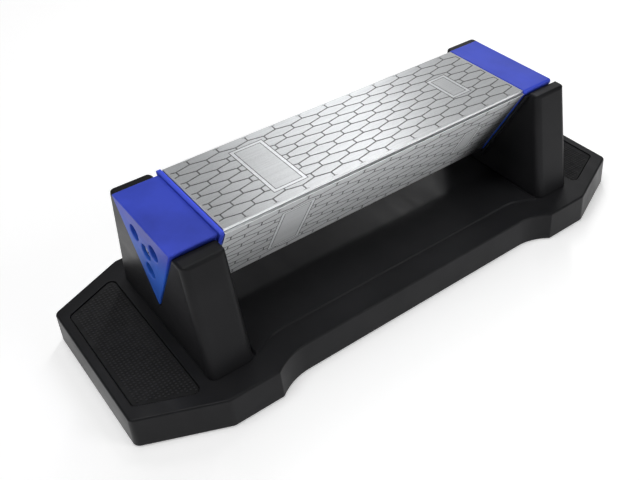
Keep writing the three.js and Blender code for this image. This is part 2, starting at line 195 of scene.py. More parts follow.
RIGHT_SCREW_SPOTS = [plan_centre(node) for node in CRADLE_SCREWS if node.endswith("right")]
CRADLE_SCREW = (1.75, 2.0)      # shank radius and head height
CAP_SCREW = (1.5, 1.9)
FASTENER_SIDES = 24
NUT_BORE = 1.7
ROD_THREAD_RADIUS = 1.4         # the tie rod's threaded ends
ROD_THREAD_LENGTH = 2.6
ROD_THREAD_PITCH = 0.4
ROD_CHAMFER = 0.3

CELL_LENGTH = 13.4              # the plates' engraved cells, long hexagons in offset rows
CELL_PITCH = 4.3
GROOVE_WIDTH = 0.62
GROOVE_DEPTH = 0.1
CELL_OFFSET = 1.0               # where along the block the pattern starts
CELL_ROWS = range(-6, 7)
CELL_COLUMNS = range(-7, 8)
PLATE_RIM = 0.2                 # rounding along the plate's edges
PLATE_BURR = 0.04               # the small chamfer along its underside
FIELD_MARGIN = 0.9              # plain margin between the rim and the engraved cells
LARGE_PANEL = (-42.3, 7.9, 17.4)    # a blank label frame's centre, half length along X and half width
SMALL_PANEL = (53.3, 5.5, 9.4)
PANEL_LINE = 0.35
PANEL_FRAME = 1.35
PANEL_HAIRLINE = 0.3


# ---------------------------------------------------------------- outlines


def rounded(corners, steps):
    """A closed loop through corners (x, y, radius), each rounded to its radius in so many steps."""
    loop = []
    for i, (x, y, radius) in enumerate(corners):
        corner = Vector((x, y))
        if radius == 0:
            loop.append(corner)
            continue
        before = (Vector(corners[i - 1][:2]) - corner).normalized()
        after = (Vector(corners[(i + 1) % len(corners)][:2]) - corner).normalized()
        half = before.angle(after) / 2
        start = corner + before * (radius / math.tan(half))
        centre = corner + (before + after).normalized() * (radius / math.sin(half))
        turn = math.copysign(math.pi - 2 * half, -before.cross(after))
        for k in range(steps + 1):
            angle = turn * k / steps
            arm = start - centre
            cosine, sine = math.cos(angle), math.sin(angle)
            loop.append(centre + Vector((arm.x * cosine - arm.y * sine, arm.x * sine + arm.y * cosine)))
    return loop


def inset(corners, distance):
    """The same outline moved inward; corners run anticlockwise and their arcs stay concentric."""
    moved = []
    for i, (x, y, radius) in enumerate(corners):
        point = Vector((x, y))
        before = (point - Vector(corners[i - 1][:2])).normalized()
        after = (Vector(corners[(i + 1) % len(corners)][:2]) - point).normalized()
        along = (before + after).normalized()
        reach = distance / before.dot(along)
        outward = before.cross(after) > 0
        smaller = max(radius - distance, min(radius, LEAST_RADIUS))
        kept = radius if radius == 0 else smaller if outward else radius + distance
        moved.append((x - along.y * reach, y + along.x * reach, kept))
    return moved


def four_quarters(corners):
    """Corners given for x > 0 and y > 0, in order of falling x, mirrored to all four quarters."""
    def flip(some, sx, sy):
        return [(sx * x, sy * y, r) for x, y, r in some]

    back = corners[::-1]
    return [*corners, *flip(back, -1, 1), *flip(corners, -1, -1), *flip(back, 1, -1)]


def circle(radius, x=0.0, y=0.0, *, steps):
    turns = [2 * math.pi * k / steps for k in range(steps)]
    return [Vector((x + radius * math.cos(a), y + radius * math.sin(a))) for a in turns]


def three_corners(face, radius):
    """The section of a three-sided bar, apex down, whose flats lie at a distance from the axis."""
    return [(2 * face * math.cos(a), AXIS_Z + 2 * face * math.sin(a), radius) for a in THIRDS]


def rectangle(x0, x1, y0, y1):
    return [Vector(p) for p in ((x0, y0), (x1, y0), (x1, y1), (x0, y1))]


def clipped(polygon, x0, x1, y0, y1):
    """A convex polygon cut down to a rectangle."""
    for axis, limit, sign in ((0, x0, 1), (0, x1, -1), (1, y0, 1), (1, y1, -1)):
        kept = []
        for i, b in enumerate(polygon):
            a = polygon[i - 1]
            inside_a, inside_b = ((p[axis] - limit) * sign >= 0 for p in (a, b))
            if inside_a != inside_b:
                kept.append(a.lerp(b, (limit - a[axis]) / (b[axis] - a[axis])))
            if inside_b:
                kept.append(b)
        polygon = kept
    return polygon


# ---------------------------------------------------------------- mesh building


def upright(x, y, z):
    return (x, y, z)


def lengthwise(x, y, z):
    return (z, x, y)


def ring(bm, loop, level, place=upright):
    return [bm.verts.new(place(p[0], p[1], level)) for p in loop]


def skin(bm, rings, material=0):
    """Quads between rings of equal count."""
    for low, high in zip(rings, rings[1:]):
        for i, vert in enumerate(low):
            face = bm.faces.new((low[i - 1], vert, high[i], high[i - 1]))
            face.material_index = material


def fill(bm, *rings):
    """A flat face bounded by the first ring, with the other rings as holes."""
    edges = []
    for loop in rings:
        for i, vert in enumerate(loop):
            pair = (loop[i - 1], vert)
            edges.append(bm.edges.get(pair) or bm.edges.new(pair))
    bmesh.ops.triangle_fill(bm, use_beauty=True, edges=edges)


def rounding(radius, steps):
    """(inset, rise) pairs around a convex edge, from the wall to the flat."""
    pairs = []
    for k in range(steps + 1):
        a = math.radians(90.0 * k / steps)
        pairs.append((radius * (1 - math.cos(a)), radius * math.sin(a)))
    return pairs


def stepped_face(bm, outline, patterns, level):
    """A flat face with patterns (polygon, step, material) in it, later ones over earlier ones.

    Only two heights are used. Gives back the verts on the outline, in its order.
    """
    coords = list(outline)
    faces = [list(range(len(outline)))]
    for polygon, _, _ in patterns:
        faces.append(list(range(len(coords), len(coords) + len(polygon))))
        coords.extend(polygon)
    points, _, triangles, sources, _, covers = delaunay_2d_cdt(coords, [], faces, 1, 1e-5)
    verts, sides = {}, {}

    def vert_at(i, step):
        if (i, step) not in verts:
            verts[i, step] = bm.verts.new((points[i].x, points[i].y, level + step))
        return verts[i, step]

    for triangle, cover in zip(triangles, covers):
        if 0 not in cover:
            continue
        top = max(cover)
        step, material = patterns[top - 1][1:] if top else (0.0, 0)
        face = bm.faces.new([vert_at(i, step) for i in triangle])
        face.material_index = material
        for i, a in enumerate(triangle):
            b = triangle[i - 1]
            sides.setdefault((min(a, b), max(a, b)), []).append((step, material))
    for (a, b), found in sides.items():
        steps = {step for step, _ in found}
        if len(steps) == 2:
            low, high = min(found), max(found)
            corners = ((a, low[0]), (b, low[0]), (b, high[0]), (a, high[0]))
            wall = bm.faces.new([vert_at(i, step) for i, step in corners])
            wall.material_index = low[1]
    where = {k: i for i, inputs in enumerate(sources) for k in inputs}
    return [vert_at(where[k], 0.0) for k in range(len(outline))]


def turned(bm, profile, place=upright, steps=32, centre=(0.0, 0.0)):
    """A turned solid through (radius, level) points from one end to the other."""
    rings = [ring(bm, circle(r, *centre, steps=steps), level, place) for r, level in profile]
    skin(bm, rings)
    return rings


def box_mesh(bm, x0, x1, y0, y1, z0, z1):
    loop = rectangle(x0, x1, y0, y1)
    low, high = ring(bm, loop, z0), ring(bm, loop, z1)
    skin(bm, [low, high])
    bm.faces.new(low[::-1])
    bm.faces.new(high)


def pillar(bm, radius, x, y, z0, z1):
    rings = turned(bm, [(radius, z0), (radius, z1)], steps=28, centre=(x, y))
    bm.faces.new(rings[0][::-1])
    bm.faces.new(rings[-1])


def as_object(bm, name):
    bmesh.ops.recalc_face_normals(bm, faces=bm.faces)
    mesh = bpy.data.meshes.new(name)
    bm.to_mesh(mesh)
    bm.free()
    made = bpy.data.objects.new(name, mesh)
    bpy.context.scene.collection.objects.link(made)
    return made


def applied(temporary):
    """A bmesh of an object with its modifiers applied; the object is used up."""
    bpy.context.view_layer.update()
    result = temporary.evaluated_get(bpy.context.evaluated_depsgraph_get()).to_mesh()
    bm = bmesh.new()
    bm.from_mesh(result)
    bpy.data.objects.remove(temporary)
    return bm


def combined(first, second, operation="DIFFERENCE"):
    """A bmesh joined with or cut by another; both are used up."""
    target, tool = as_object(first, "target"), as_object(second, "tool")
    modifier = target.modifiers.new("combine", "BOOLEAN")
    modifier.object = tool
    modifier.operation = operation
    modifier.solver = "EXACT"
    bm = applied(target)
    bpy.data.objects.remove(tool)
    return bm


def at_end(bm, side):
    """Turns what is built at the right-hand end to its own end."""
    if side < 0:
        bmesh.ops.rotate(bm, verts=bm.verts, matrix=Matrix.Rotation(math.pi, 3, "Z"))
    return bm


def finished(bm, name, body, materials, replaces, sharp=32.0):
    """Turns a bmesh in millimetres into a smooth-shaded piece that rides on a body.

    Edges that turn by more than the sharp angle, in degrees, stay crisp.
    """
    bmesh.ops.scale(bm, vec=(MM, MM, MM), verts=bm.verts)
    piece = as_object(bm, name)
    for material in materials:
        piece.data.materials.append(material)
    for polygon in piece.data.polygons:
        polygon.use_smooth = True
    piece.data.set_sharp_from_angle(angle=math.radians(sharp))
    weighted = piece.modifiers.new("weighted_normals", "WEIGHTED_NORMAL")
    weighted.keep_sharp = True
    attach(piece, body)
    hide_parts(*replaces)


# ---------------------------------------------------------------- materials

slot_colour = {m["slot"]: m["base_color"] for m in frame["record"]["materials"]}

GRAIN_DEPTH = 0.00002           # of moulded plastic, in metres


def map_range(tree, value, low, high, to_low, to_high, interpolation="LINEAR"):
    """A node tree's value, mapped from one range to another and held within it."""
    node = tree.nodes.new("ShaderNodeMapRange")
    node.interpolation_type = interpolation
    limits = {"From Min": low, "From Max": high, "To Min": to_low, "To Max": to_high}
    for name, number in limits.items():
        node.inputs[name].default_value = number
    tree.links.new(value, node.inputs["Value"])
    return node.outputs[0]


class Look:
    """Builds one procedural material. Textures use the piece's own coordinates, in metres."""

    def __init__(self, name, roughness, metallic=0.0, ior=1.5):
        self.material = bpy.data.materials.new(name)
        self.material.use_nodes = True
        self.tree = self.material.node_tree
        self.nodes, self.links = self.tree.nodes, self.tree.links
        self.shader = self.nodes["Principled BSDF"]
        for socket, number in (("Roughness", roughness), ("Metallic", metallic), ("IOR", ior)):
            self.shader.inputs[socket].default_value = number
        self.place = self.nodes.new("ShaderNodeTexCoord").outputs["Object"]

    def stretched(self, scale):
        mapping = self.nodes.new("ShaderNodeMapping")
        mapping.inputs["Scale"].default_value = scale
        self.links.new(self.place, mapping.inputs["Vector"])
        return mapping.outputs["Vector"]

    def noise(self, scale, detail=3.0, stretch=(1, 1, 1)):
        node = self.nodes.new("ShaderNodeTexNoise")
        node.inputs["Scale"].default_value = scale
        node.inputs["Detail"].default_value = detail
        self.links.new(self.stretched(stretch), node.inputs["Vector"])
        return node.outputs[0]

    def grit(self, scale, output="Distance"):
        node = self.nodes.new("ShaderNodeTexVoronoi")
        node.inputs["Scale"].default_value = scale
        self.links.new(self.place, node.inputs["Vector"])
        return node.outputs[output]

    def height(self):
        split = self.nodes.new("ShaderNodeSeparateXYZ")
        self.links.new(self.place, split.inputs[0])
        return split.outputs["Z"]

    def edges(self):
        """High on outer edges, low in corners."""
        return self.nodes.new("ShaderNodeNewGeometry").outputs["Pointiness"]

    def distance(self):
        """How far a point is from the piece's own origin."""
        node = self.nodes.new("ShaderNodeVectorMath")
        node.operation = "LENGTH"
        self.links.new(self.place, node.inputs[0])
        return node.outputs["Value"]

    def mapped(self, value, low, high, to_low, to_high):
        return map_range(self.tree, value, low, high, to_low, to_high)

    def mixed(self, factor, first, second):
        """A colour between two colours or colour sockets."""
        node = self.nodes.new("ShaderNodeMix")
        node.data_type = "RGBA"
        self.links.new(factor, node.inputs[0])
        for socket, colour in ((node.inputs[6], first), (node.inputs[7], second)):
            if isinstance(colour, bpy.types.NodeSocket):
                self.links.new(colour, socket)
            else:
                socket.default_value = (*colour, 1.0)
        return node.outputs[2]

    def bump(self, height, distance, strength, under=None):
        node = self.nodes.new("ShaderNodeBump")
        node.inputs["Distance"].default_value = distance
        node.inputs["Strength"].default_value = strength
        self.links.new(height, node.inputs["Height"])
        if under:
            self.links.new(under, node.inputs["Normal"])
        return node.outputs[0]

    def use(self, name, socket):
        self.links.new(socket, self.shader.inputs[name])


def scaled(colour, factor):
    return tuple(c * factor for c in colour)


def moulded_plastic(name, colour, roughness, ior, painted_shade_tint=None):
    """Satin moulded plastic: fine spark-eroded grain, faint handling marks, and outer edges painted
    lighter, partly rubbed wear and partly a painted edge highlight.

    With a painted shade tint given, the plastic turns to it away from its upper side, a painted colour for
    its shaded lower faces.
    """
    look = Look(name, roughness, ior=ior)
    cloud = look.mapped(look.noise(45.0, 4.0), 0.35, 0.65, 0.0, 1.0)
    shade = look.mixed(cloud, scaled(colour, 0.86), scaled(colour, 1.12))
    if painted_shade_tint:
        # painted shade: lower parts turn to a greener blue, the colour the shaded end face shows
        painted_shade_mix = look.mapped(look.height(), 0.064, 0.05, 0.0, 1.0)
        shade = look.mixed(painted_shade_mix, shade, look.mixed(cloud, scaled(painted_shade_tint, 0.86), scaled(painted_shade_tint, 1.12)))
    # outer edges painted lighter: partly rubbed wear, partly a painted edge highlight
    rubbed_and_highlight = look.mapped(look.edges(), 0.52, 0.60, 0.0, 0.55)
    look.use("Base Color", look.mixed(rubbed_and_highlight, shade, scaled(colour, 2.1)))
    marks = look.noise(120.0, 6.0, stretch=(1.0, 0.25, 0.6))
    look.use("Roughness", look.mapped(marks, 0.3, 0.7, roughness - 0.06, roughness + 0.08))
    fine = look.bump(look.noise(5200.0, 2.0), GRAIN_DEPTH, 0.5)
    look.use("Normal", look.bump(look.noise(900.0, 2.0), GRAIN_DEPTH * 1.5, 0.35, fine))
    return look.material


def moulded_rubber(name, colour, painted_highlight_from=None):
    """Matt rubber with a dusty bloom and a fine pitted skin; above a height in metres it is painted
    lighter, a painted highlight on raised tops.
    """
    look = Look(name, 0.75, ior=1.3)
    bloom = look.mapped(look.noise(70.0, 5.0), 0.4, 0.7, 0.0, 1.0)
    shade = look.mixed(bloom, scaled(colour, 0.7), colour)
    if painted_highlight_from:
        # painted highlight: raised tops painted lighter, standing in for the light they catch
        painted_highlight = look.mapped(look.height(), painted_highlight_from, painted_highlight_from + 0.00003, 0.0, 1.0)
        shade = look.mixed(painted_highlight, shade, scaled(colour, 1.7))
    look.use("Base Color", shade)
    look.use("Roughness", look.mapped(look.noise(350.0), 0.3, 0.7, 0.62, 0.85))
    look.use("Normal", look.bump(look.noise(3000.0, 3.0), 0.00005, 0.6))
    return look.material


def plated_surface(name, colour, roughness, grit):
    """Nickel plate brushed along the block, its highlight drawn out across it; grit makes it glitter."""
    look = Look(name, roughness, metallic=1.0)
    look.shader.inputs["Anisotropic"].default_value = 0.95
    tangent = look.nodes.new("ShaderNodeTangent")
    tangent.direction_type = "UV_MAP"
    tangent.uv_map = "grain"
    look.use("Tangent", tangent.outputs[0])
    brushed = look.mapped(look.noise(260.0, 4.0, stretch=(0.06, 6.0, 6.0)), 0.35, 0.65, 0.0, 1.0)
    shade = look.mixed(brushed, scaled(colour, 0.93), scaled(colour, 1.07))
    speck = look.mapped(look.grit(2600.0, "Color"), 0.0, 1.0, 0.0, 0.4 * grit)
    look.use("Base Color", look.mixed(speck, shade, scaled(colour, 1.3)))
    rough = look.noise(1900.0, 2.0)
    look.use("Roughness", look.mapped(rough, 0.3, 0.7, roughness - 0.03, roughness + 0.04))
    look.use("Normal", look.bump(look.grit(2600.0), 0.00002, 0.35 * grit))
    return look.material


def engraved_groove(name, colour):
    """The grooves between the cells, coloured dark and mottled at random."""
    look = Look(name, 0.7, metallic=0.35)
    groove_mottle = look.mapped(look.noise(800.0, 4.0), 0.35, 0.65, 0.0, 1.0)
    look.use("Base Color", look.mixed(groove_mottle, scaled(colour, 0.2), scaled(colour, 0.42)))
    look.use("Roughness", look.mapped(look.noise(1500.0), 0.3, 0.7, 0.6, 0.85))
    look.use("Normal", look.bump(look.noise(4000.0), 0.00003, 0.5))
    return look.material


def bare_metal(name, colour, roughness=0.28):
    """Ground or plated steel with drawn lines and a few dull spots."""
    look = Look(name, roughness, metallic=1.0)
    lines = look.mapped(look.noise(500.0, 4.0, stretch=(0.1, 4.0, 4.0)), 0.3, 0.7, 0.0, 1.0)
    look.use("Base Color", look.mixed(lines, scaled(colour, 0.88), scaled(colour, 1.1)))
    spots = look.noise(700.0, 5.0)
    look.use("Roughness", look.mapped(spots, 0.35, 0.7, roughness - 0.06, roughness + 0.14))
    look.use("Normal", look.bump(look.noise(2500.0, 2.0), 0.00001, 0.4))
    return look.material


base_plastic = moulded_plastic(
    "base_plastic", scaled(slot_colour["base_plastic"], 0.78), roughness=0.34, ior=1.21
)
cradle_plastic = moulded_plastic(
    "cradle_plastic", scaled(slot_colour["cradle_plastic"], 0.62), roughness=0.34, ior=1.2
)
cap_red, cap_green, cap_blue = slot_colour["cap_plastic"]
# the caps' lower parts carry a painted shade tint
cap_plastic = moulded_plastic(
    "cap_plastic", (cap_red, cap_green, cap_blue), roughness=0.42, ior=1.3,
    painted_shade_tint=(cap_red * 0.7, cap_green * 2.0, cap_blue * 1.2),
)
core_plastic = moulded_plastic("core_plastic", slot_colour["core_plastic"], roughness=0.5, ior=1.46)
# the dots' tops carry a painted highlight
pad_rubber = moulded_rubber(
    "pad_rubber", slot_colour["pad_rubber"], painted_highlight_from=(pad_high.z - DOT_HEIGHT / 2) * MM
)
foot_rubber = moulded_rubber("foot_rubber", slot_colour["foot_rubber"])
plate_colour = slot_colour["diamond_plate"]
plate_surface = plated_surface("plate_surface", scaled(plate_colour, 1.12), roughness=0.41, grit=1.0)
plate_frame = plated_surface("plate_frame", scaled(plate_colour, 1.45), roughness=0.4, grit=0.25)
plate_groove = engraved_groove("engraved_groove", plate_colour)
# the rim is a lighter copy of the plate metal: partly bare ground edge, partly a painted highlight along it
plate_edge = bare_metal("plate_edge", scaled(plate_colour, 1.5), roughness=0.36)
fastener_steel = bare_metal("fastener_steel", slot_colour["fastener_steel"])


# ---------------------------------------------------------------- base

base_outline = four_quarters(BASE_CORNERS)


def recess_outline(side):
    """The outline of a grip pad's recess, anticlockwise."""
    corners = [
        (RECESS_OUTER_X, -RECESS_OUTER_HALF, RECESS_CORNER),
        (RECESS_OUTER_X, RECESS_OUTER_HALF, RECESS_CORNER),
        (RECESS_INNER_X, RECESS_INNER_HALF, RECESS_CORNER),
        (RECESS_INNER_X, -RECESS_INNER_HALF, RECESS_CORNER),
    ]
    return [(side * x, side * y, r) for x, y, r in corners]


def base_body():
    """The outside of the base with its two recesses and its deck, closed by a flat underside."""
    bm = bmesh.new()

    def outline_ring(corners, distance, level):
        return ring(bm, rounded(inset(corners, distance), BASE_STEPS), level)

    outside = []
    for distance, rise in reversed(rounding(BASE_RIM_EDGE, 4)):
        level = base_low.z + BASE_RIM_EDGE - rise
        outside.append(outline_ring(base_outline, distance - BASE_DRAFT, level))
    for distance, rise in rounding(BASE_EDGE, 8):
        outside.append(outline_ring(base_outline, distance, BASE_TOP - BASE_EDGE + rise))
    skin(bm, outside)
    fill(bm, outside[0])

    openings = []
    floor = BASE_TOP - RECESS_DEPTH
    for _, side in SIDES:
        corners = recess_outline(side)
        rings = []
        for distance, rise in reversed(rounding(RECESS_LIP, 4)):
            rings.append(outline_ring(corners, -distance, BASE_TOP - RECESS_LIP + rise))
        for distance, rise in rounding(RECESS_FILLET, 3):
            rings.append(outline_ring(corners, distance, floor + RECESS_FILLET - rise))
        skin(bm, rings)
        fill(bm, rings[-1])
        openings.append(rings[0])

    deck_outline = four_quarters(DECK_CORNERS)
    deck = [outline_ring(deck_outline, distance, BASE_TOP + rise) for distance, rise in DECK_EDGE]
    skin(bm, deck)
    fill(bm, deck[-1])
    fill(bm, outside[-1], *openings, deck[0])
    return bm


def base_moulding():
    """The base: a ribbed shell, open underneath, with bosses for its feet and screws."""
    ceiling = BASE_TOP - BASE_WALL
    tool_top = ceiling + 1.0
    hollow = bmesh.new()
    loop = rounded(inset(base_outline, BASE_WALL), BASE_STEPS)
    walls = [ring(hollow, loop, -1.0), ring(hollow, loop, ceiling)]
    skin(hollow, walls)
    for end in walls:
        fill(hollow, end)

    across, along, bosses, holes = (bmesh.new() for _ in range(4))
    half_rib = RIB_THICKNESS / 2
    for k in range(-5, 6):
        x = k * RIB_PITCH_X
        box_mesh(across, x - half_rib, x + half_rib, -RIB_REACH_Y, RIB_REACH_Y, -OVERRUN, tool_top)
    for k in (-1, 0, 1):
        y = k * RIB_PITCH_Y
        box_mesh(along, -RIB_REACH_X, RIB_REACH_X, y - half_rib, y + half_rib, -OVERRUN, tool_top)
    for foot in FEET:
        low, high = span(foot)
        x, y = plan_centre(foot)
        pillar(bosses, FOOT_BOSS_RADIUS, x, y, -OVERRUN, tool_top)
        pillar(holes, (high.x - low.x) / 2 + GAP, x, y, -OVERRUN, high.z + GAP)
    for screw_node in CRADLE_SCREWS:
        low, high = span(screw_node)
        x, y = plan_centre(screw_node)
        head = (high.x - low.x) / 2
        pillar(bosses, head + SCREW_BOSS_WALL, x, y, -OVERRUN, tool_top)
        bore = turned(holes, [
            (head + SCREW_HEAD_CLEARANCE, -OVERRUN),
            (head + SCREW_HEAD_CLEARANCE, SCREW_SEAT),
            (SCREW_BORE, SCREW_SEAT),
            (SCREW_BORE, BASE_TOP + OVERRUN),
        ], centre=(x, y))
        fill(holes, bore[0])
        fill(holes, bore[-1])
    for tool in (across, along, bosses):
        hollow = combined(hollow, tool)
    body = combined(base_body(), hollow)
    return combined(body, holes)


finished(base_moulding(), "base_moulding", "base", [base_plastic], ["base_shell"])


def dotted_pad(side):
    """A rubber inlay whose face carries small round dots in straight rows."""
    bm = bmesh.new()
    slope = (RECESS_OUTER_HALF - RECESS_INNER_HALF) / (RECESS_OUTER_X - RECESS_INNER_X)
    margin = GAP + PAD_MARGIN + DOT_RADIUS
    dots = []
    columns = int((RECESS_OUTER_X - RECESS_INNER_X - 2 * margin) / DOT_PITCH)
    for column in range(columns + 1):
        x = RECESS_INNER_X + margin + column * DOT_PITCH
        reach = RECESS_INNER_HALF + (x - RECESS_INNER_X) * slope - margin - PAD_SLANT_MARGIN
        count = int(reach / DOT_PITCH)
        for row in range(-count, count + 1):
            dot = circle(DOT_RADIUS, side * x, row * DOT_PITCH, steps=DOT_SIDES)
            dots.append((dot, DOT_HEIGHT, 0))
    face = pad_high.z - DOT_HEIGHT
    corners = inset(recess_outline(side), GAP)
    outer = rounded(corners, PAD_STEPS)
    top = stepped_face(bm, rounded(inset(corners, PAD_EDGE), PAD_STEPS), dots, face)
    rings = [top, ring(bm, outer, face - PAD_EDGE), ring(bm, outer, pad_low.z)]
    skin(bm, rings)
    fill(bm, rings[-1])
    return bm


for name, side in SIDES:
    finished(
        dotted_pad(side), f"dotted_pad_{name}", "base", [pad_rubber],
        [f"grip_pad_{name}"],
    )


def rubber_foot(node):
    """A disc foot with rounded edges and a shallow ring under it."""
    low, high = span(node)
    radius = (high.x - low.x) / 2
    hollow = [(0.1, 0.35), (radius * 0.45, 0.35), (radius * 0.5, 0.1), (radius * 0.56, 0.0)]
    tread = [(radius - 0.7, 0.0), (radius - 0.25, 0.15), (radius, 0.6)]
    top = [(radius, high.z - 0.4), (radius - 0.3, high.z), (0.1, high.z)]
    bm = bmesh.new()
    rings = turned(bm, hollow + tread + top, steps=40, centre=plan_centre(node))
    fill(bm, rings[0])
    fill(bm, rings[-1])
    return bm


for node in FEET:
    finished(rubber_foot(node), f"rubber_{node}", "base", [foot_rubber], [node])


# ---------------------------------------------------------------- uprights


def beveled(bm, widest, segments):
    """Rounds the edges by their weights, each weight being its radius over the widest one."""
    blank = as_object(bm, "blank")
    modifier = blank.modifiers.new("round", "BEVEL")
    modifier.limit_method = "WEIGHT"
    modifier.width = widest
    modifier.segments = segments
    return applied(blank)


def section_prism(bm, section, inner, outer):
    """A prism along X through a section (y, z); the outer end's x depends on z."""
    near = [bm.verts.new((inner, y, z)) for y, z in section]
    far = [bm.verts.new((outer(z), y, z)) for y, z in section]
    skin(bm, [near, far])
    bm.faces.new(near)
    bm.faces.new(far[::-1])
    return near, far


def notched_section(foot_half, foot, top, face):
    """The section (y, z) of a tapering upright; face is how far its notch's sides are from the axis."""
    top_half = foot_half - CRADLE_TAPER_Y
    apex = AXIS_Z - 2 * face
    mouth = (top - apex) / math.sqrt(3)
    return [
        (-foot_half, foot), (foot_half, foot), (top_half, top), (mouth, top),
        (0.0, apex), (-mouth, top), (-top_half, top),
    ]


def cradle_extent(name):
    """Inner x, outer x, half width, foot and top of an upright, as it would stand at the right."""
    low, high = span(f"cradle_{name}")
    inner, outer = sorted((abs(low.x), abs(high.x)))
    return inner, outer, high.y, low.z, high.z


def cradle_blank(name):
    """An upright as a solid with rounded edges."""
    bm = bmesh.new()
    _, outer_x, foot_half, foot, top = cradle_extent(name)
    section = notched_section(foot_half, foot, top, CAP_FACE[name] + GAP)
    # radii of the section's own edges at both ends, and of the edges that run along X
    end_radii = [0.0, CRADLE_CORNER, CRADLE_EDGE, NOTCH_EDGE, NOTCH_EDGE, CRADLE_EDGE, CRADLE_CORNER]
    along_radii = [0.0, 0.0, CRADLE_EDGE, NOTCH_EDGE, NOTCH_EDGE, NOTCH_EDGE, CRADLE_EDGE]

    def outer(z):
        return outer_x - CRADLE_TAPER_X * (z - foot) / (top - foot)

    near, far = section_prism(bm, section, CRADLE_INNER_X, outer)
    weight = bm.edges.layers.float.new("bevel_weight_edge")
    for i in range(len(section)):
        for loop in (near, far):
            edge = bm.edges.get((loop[i], loop[(i + 1) % len(loop)]))
            edge[weight] = end_radii[i] / CRADLE_CORNER
        bm.edges.get((near[i], far[i]))[weight] = along_radii[i] / CRADLE_CORNER
    return beveled(bm, CRADLE_CORNER, CRADLE_EDGE_STEPS)


def notch_rib(name):
    """A rib along both sides of an upright's notch, reaching in towards the plates."""
    bm = bmesh.new()
    inner_x, _, _, _, top = cradle_extent(name)
    level = top - NOTCH_RIB_DROP
    face = CAP_FACE[name] + GAP
    section = []
    for distance, first in ((face + NOTCH_RIB_THICKNESS, 1), (face, -1)):
        apex = AXIS_Z - 2 * distance
        half = (level - apex) / math.sqrt(3)
        section += [(first * half, level), (0.0, apex), (-first * half, level)]
    root = CRADLE_INNER_X + CRADLE_WALL - NOTCH_RIB_ROOT
    near, _ = section_prism(bm, section, inner_x, lambda z: root)
    weight = bm.edges.layers.float.new("bevel_weight_edge")
    for i, vert in enumerate(near):
        bm.edges.get((near[i - 1], vert))[weight] = 1.0
    return beveled(bm, NOTCH_RIB_EDGE, 3)


def cradle_hollow(name):
    """The space inside an upright, open at its foot, around two screw bosses."""
    bm = bmesh.new()
    _, outer_x, foot_half, foot, top = cradle_extent(name)
    inner_x = CRADLE_INNER_X + CRADLE_WALL
    outer_x -= CRADLE_TAPER_X + CRADLE_WALL
    foot -= 1.0
    top -= CRADLE_WALL
    foot_half -= CRADLE_WALL
    section = notched_section(foot_half, foot, top, CAP_FACE[name] + GAP + CRADLE_WALL)
    section_prism(bm, section, inner_x, lambda z: outer_x)
    bosses, webs = bmesh.new(), bmesh.new()
    for x, y in RIGHT_SCREW_SPOTS:
        pillar(bosses, CRADLE_BOSS_RADIUS, x, y, foot - 1, CRADLE_BOSS_TOP)
        box_mesh(
            webs, inner_x - 1, outer_x + 1, y - CRADLE_WEB_HALF, y + CRADLE_WEB_HALF,
            foot - 1, CRADLE_BOSS_TOP - CRADLE_WEB_DROP,
        )
    bm = combined(bm, bosses)
    return combined(bm, webs)


def cradle(name, side):
    """An upright: a hollow tapering shell with a V notch, and a rib along it where its CAD node has one."""
    inner_x, _, _, foot, _ = cradle_extent(name)
    bm = cradle_blank(name)
    if inner_x < CRADLE_INNER_X - GAP:
        bm = combined(bm, notch_rib(name), "UNION")
    bm = combined(bm, cradle_hollow(name))
    pilots = bmesh.new()
    for x, y in RIGHT_SCREW_SPOTS:
        pillar(pilots, SCREW_BORE, x, y, foot - 1, CRADLE_PILOT_TOP)
    return at_end(combined(bm, pilots), side)


for name, side in SIDES:
    finished(
        cradle(name, side), f"upright_{name}", "base", [cradle_plastic],
        [f"cradle_{name}"],
    )


# ---------------------------------------------------------------- fasteners


def aimed(bm, seat, outward):
    """Turns a piece built along -Z from its seat, head up, so that its head faces outward."""
    turn = Vector((0, 0, 1)).rotation_difference(outward).to_matrix().to_4x4()
    bmesh.ops.transform(bm, matrix=Matrix.Translation(seat) @ turn, verts=bm.verts)


def screw(node, outward, shank, head_height):
    """A pan-head screw with a cross recess, its head towards outward."""
    low, high = span(node)
    middle, half = (low + high) / 2, (high - low) / 2
    reach = abs(half.dot(outward))
    head = max(half.cross(outward).length / math.sqrt(2), shank)
    length = 2 * reach - head_height
    seat = middle + outward * (reach - head_height)
    root = shank * 0.78
    pitch = shank * 0.55
    profile = [(0.12, -length), (shank * 0.55, -length + shank), (root, -length + shank * 1.3)]
    level = -length + shank * 1.6
    while level < -pitch * 1.5:
        profile += [(shank, level), (root, level + pitch / 2)]
        level += pitch
    profile += [
        (shank * 0.9, -0.3), (shank, 0.0), (head * 0.94, 0.0), (head, 0.12),
        (head, head_height * 0.45), (head * 0.93, head_height * 0.75), (head * 0.76, head_height * 0.97),
    ]
    bm = bmesh.new()
    rings = turned(bm, profile, steps=FASTENER_SIDES)
    fill(bm, rings[0])
    arm, width = head * 0.52, head * 0.15
    cross = [Vector(p) for p in (
        (arm, -width), (arm, width), (width, width), (width, arm), (-width, arm), (-width, width),
        (-arm, width), (-arm, -width), (-width, -width), (-width, -arm), (width, -arm), (width, -width),
    )]
    mouth = ring(bm, cross, head_height)
    floor = ring(bm, [p * 0.62 for p in cross], head_height * 0.35)
    skin(bm, [mouth, floor])
    fill(bm, floor)
    crown = ring(bm, circle(head * 0.66, steps=FASTENER_SIDES), head_height)
    skin(bm, [rings[-1], crown])
    fill(bm, crown, mouth)
    aimed(bm, seat, outward)
    return bm


def hexagon(radius):
    """A hexagon with corners at a radius, sampled at the same turns as a fastener's circles."""
    loop = []
    for k in range(FASTENER_SIDES):
        a = 2 * math.pi * k / FASTENER_SIDES
        within = (a % (math.pi / 3)) - math.pi / 6
        r = radius * math.cos(math.pi / 6) / math.cos(within)
        loop.append(Vector((r * math.cos(a), r * math.sin(a))))
    return loop


